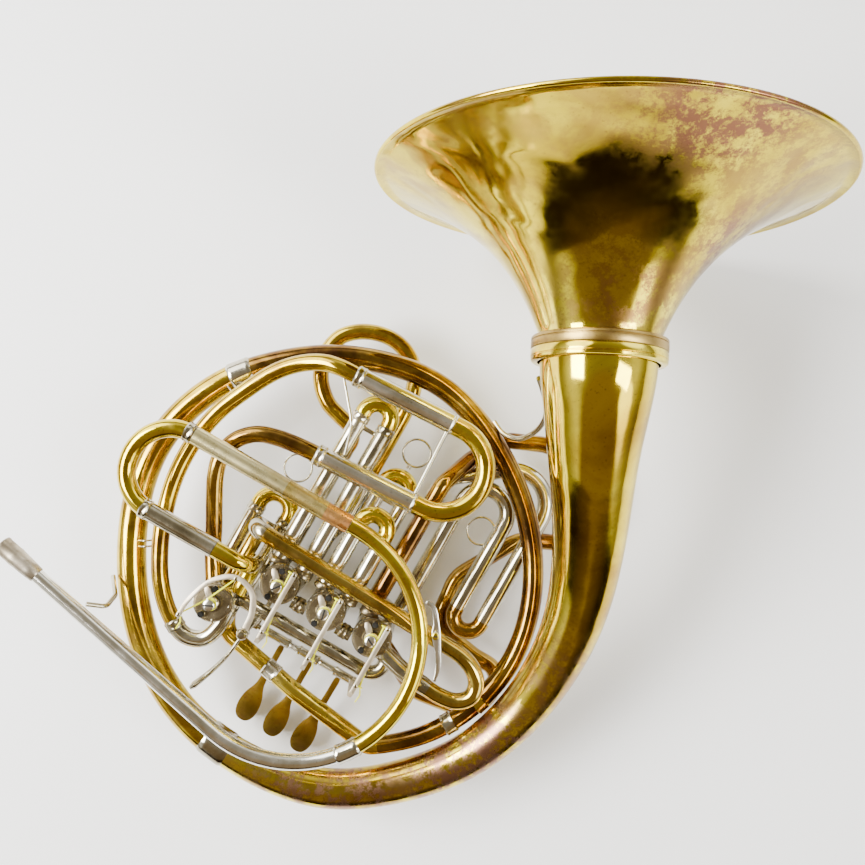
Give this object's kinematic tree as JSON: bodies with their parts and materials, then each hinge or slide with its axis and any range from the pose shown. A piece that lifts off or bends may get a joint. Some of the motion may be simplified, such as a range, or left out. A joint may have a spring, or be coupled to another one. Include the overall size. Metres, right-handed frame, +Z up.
{
  "type": "double french horn with detachable bell",
  "caption": "Coiled brass horn with a wide flared bell, rotary valves worked by levers and strings, and tuning slides, lying flat.",
  "frame": {"origin": "centre of the footprint, on the surface the horn lies on", "axes": "+Z up off the table, +X along the row of three finger valves away from the mouthpiece, +Y from the valves towards the bell"},
  "size_m": [0.414, 0.5778, 0.3094],
  "materials": {
    "bright_brass": "lacquered yellow brass with worn patches",
    "flare_brass": "lacquered brass, oxidised brown in places",
    "amber_brass": "dark amber lacquered brass",
    "nickel_silver": "polished nickel silver, lightly tarnished",
    "bright_nickel": "polished nickel silver",
    "yellow_string": "braided cord"
  },
  "bodies": {
    "horn_body": {"body_ring": "bright_brass", "bell_tail": "bright_brass", "outer_branch": "amber_brass", "inner_branch": "amber_brass", "branch_entry": "amber_brass", "leadpipe": "bright_nickel", "mouthpiece_receiver": "nickel_silver", "leadpipe_curve": "bright_brass", "main_slide_sleeves": "nickel_silver", "main_slide_exit": "bright_brass", "f_slide_sleeves": "nickel_silver", "f_supply": "amber_brass", "f_return": "amber_brass", "cross_tube": "bright_brass", "valve_line_tube": "nickel_silver", "first_bb_sleeves": "nickel_silver", "first_f_sleeves": "nickel_silver", "second_bb_sleeves": "nickel_silver", "second_f_sleeves": "nickel_silver", "third_bb_outward": "nickel_silver", "third_bb_homeward": "nickel_silver", "third_f_loop": "amber_brass", "change_sleeves": "nickel_silver", "lever_hinge_rod": "nickel_silver", "thumb_hinge_post": "nickel_silver", "water_key_saddle": "nickel_silver", "bell_brace": "nickel_silver", "leadpipe_brace": "nickel_silver", "casing_1": "nickel_silver", "casing_2": "nickel_silver", "casing_3": "nickel_silver", "casing_4": "nickel_silver", "bottom_cap_1": "nickel_silver", "bottom_cap_2": "nickel_silver", "bottom_cap_3": "nickel_silver", "bottom_cap_4": "nickel_silver"},
    "bell": {"bell_flare": "flare_brass", "bell_ring": "nickel_silver"},
    "main_slide": {"main_slide_crook": "bright_brass"},
    "f_slide": {"f_slide_crook": "bright_brass"},
    "first_bb_slide": {"first_bb_crook": "bright_brass"},
    "first_f_slide": {"first_f_crook": "amber_brass"},
    "second_bb_slide": {"second_bb_crook": "bright_brass"},
    "second_f_slide": {"second_f_crook": "bright_brass"},
    "third_bb_slide": {"third_bb_crook": "amber_brass"},
    "change_slide": {"change_crook": "bright_brass"},
    "water_key": {"water_key_lever": "bright_nickel"},
    "thumb_lever": {"thumb_lever": "bright_nickel", "string_4": "yellow_string"},
    "finger_lever_1": {"lever_1": "bright_brass", "string_1": "yellow_string"},
    "finger_lever_2": {"lever_2": "bright_brass", "string_2": "yellow_string"},
    "finger_lever_3": {"lever_3": "bright_brass", "string_3": "yellow_string"},
    "rotor_1": {"rotor_1": "bright_nickel"},
    "rotor_2": {"rotor_2": "bright_nickel"},
    "rotor_3": {"rotor_3": "bright_nickel"},
    "rotor_4": {"rotor_4": "bright_nickel"}
  },
  "joints": [
    {"name": "bell_off", "type": "slide", "parent": "horn_body", "child": "bell", "axis": [-0.4499, 0.8906, -0.067], "range_m": [0, 0.03]},
    {"name": "main_slide_pull", "type": "slide", "parent": "horn_body", "child": "main_slide", "axis": [-1, 0, 0], "range_m": [0, 0.03]},
    {"name": "f_slide_pull", "type": "slide", "parent": "horn_body", "child": "f_slide", "axis": [0.9986, 0.0523, 0], "range_m": [0, 0.03]},
    {"name": "first_bb_pull", "type": "slide", "parent": "horn_body", "child": "first_bb_slide", "axis": [0, 1, 0], "range_m": [0, 0.02]},
    {"name": "first_f_pull", "type": "slide", "parent": "horn_body", "child": "first_f_slide", "axis": [0, 1, 0], "range_m": [0, 0.02]},
    {"name": "second_bb_pull", "type": "slide", "parent": "horn_body", "child": "second_bb_slide", "axis": [0, 1, 0], "range_m": [0, 0.02]},
    {"name": "second_f_pull", "type": "slide", "parent": "horn_body", "child": "second_f_slide", "axis": [0, 1, 0], "range_m": [0, 0.02]},
    {"name": "third_bb_pull", "type": "slide", "parent": "horn_body", "child": "third_bb_slide", "axis": [0, -1, 0], "range_m": [0, 0.02]},
    {"name": "change_pull", "type": "slide", "parent": "horn_body", "child": "change_slide", "axis": [0, 1, 0], "range_m": [0, 0.015]},
    {"name": "lever_1_press", "type": "hinge", "parent": "horn_body", "child": "finger_lever_1", "pos_m": [0.02123, -0.1884, 0.032], "axis": [-1, 0, 0], "range_deg": [0, 6.2], "stiffness_Nm_per_rad": 3, "springref_deg": -4.58, "deforming": ["string_1"]},
    {"name": "lever_2_press", "type": "hinge", "parent": "horn_body", "child": "finger_lever_2", "pos_m": [0.02123, -0.1884, 0.032], "axis": [-1, 0, 0], "range_deg": [0, 6.2], "stiffness_Nm_per_rad": 3, "springref_deg": -4.58, "deforming": ["string_2"]},
    {"name": "lever_3_press", "type": "hinge", "parent": "horn_body", "child": "finger_lever_3", "pos_m": [0.02123, -0.1884, 0.032], "axis": [-1, 0, 0], "range_deg": [0, 6.2], "stiffness_Nm_per_rad": 3, "springref_deg": -4.58, "deforming": ["string_3"]},
    {"name": "thumb_press", "type": "hinge", "parent": "horn_body", "child": "thumb_lever", "pos_m": [-0.02477, -0.1776, 0.104], "axis": [0, 0, 1], "range_deg": [0, 9.7], "stiffness_Nm_per_rad": 1.5, "springref_deg": -5.73, "deforming": ["string_4"]},
    {"name": "rotor_1_turn", "type": "hinge", "parent": "horn_body", "child": "rotor_1", "pos_m": [-0.02077, -0.1374, 0.06], "axis": [0, 0, 1], "range_deg": [0, 90.5]},
    {"name": "rotor_2_turn", "type": "hinge", "parent": "horn_body", "child": "rotor_2", "pos_m": [0.01873, -0.1374, 0.06], "axis": [0, 0, 1], "range_deg": [0, 90.5]},
    {"name": "rotor_3_turn", "type": "hinge", "parent": "horn_body", "child": "rotor_3", "pos_m": [0.05823, -0.1374, 0.06], "axis": [0, 0, 1], "range_deg": [0, 90.5]},
    {"name": "rotor_4_turn", "type": "hinge", "parent": "horn_body", "child": "rotor_4", "pos_m": [-0.05677, -0.1734, 0.06], "axis": [0, 0, 1], "range_deg": [0, 90.5]},
    {"name": "water_key_press", "type": "hinge", "parent": "horn_body", "child": "water_key", "pos_m": [0.09538, -0.10764, 0.112], "axis": [0, 0, -1], "range_deg": [0, 12], "stiffness_Nm_per_rad": 0.6, "springref_deg": -11.46}
  ],
  "couplings": [
    {"joint": "rotor_1_turn", "follows": "lever_1_press", "ratio": 14.516},
    {"joint": "rotor_2_turn", "follows": "lever_2_press", "ratio": 14.516},
    {"joint": "rotor_3_turn", "follows": "lever_3_press", "ratio": 14.516},
    {"joint": "rotor_4_turn", "follows": "thumb_press", "ratio": 9.2784}
  ]
}
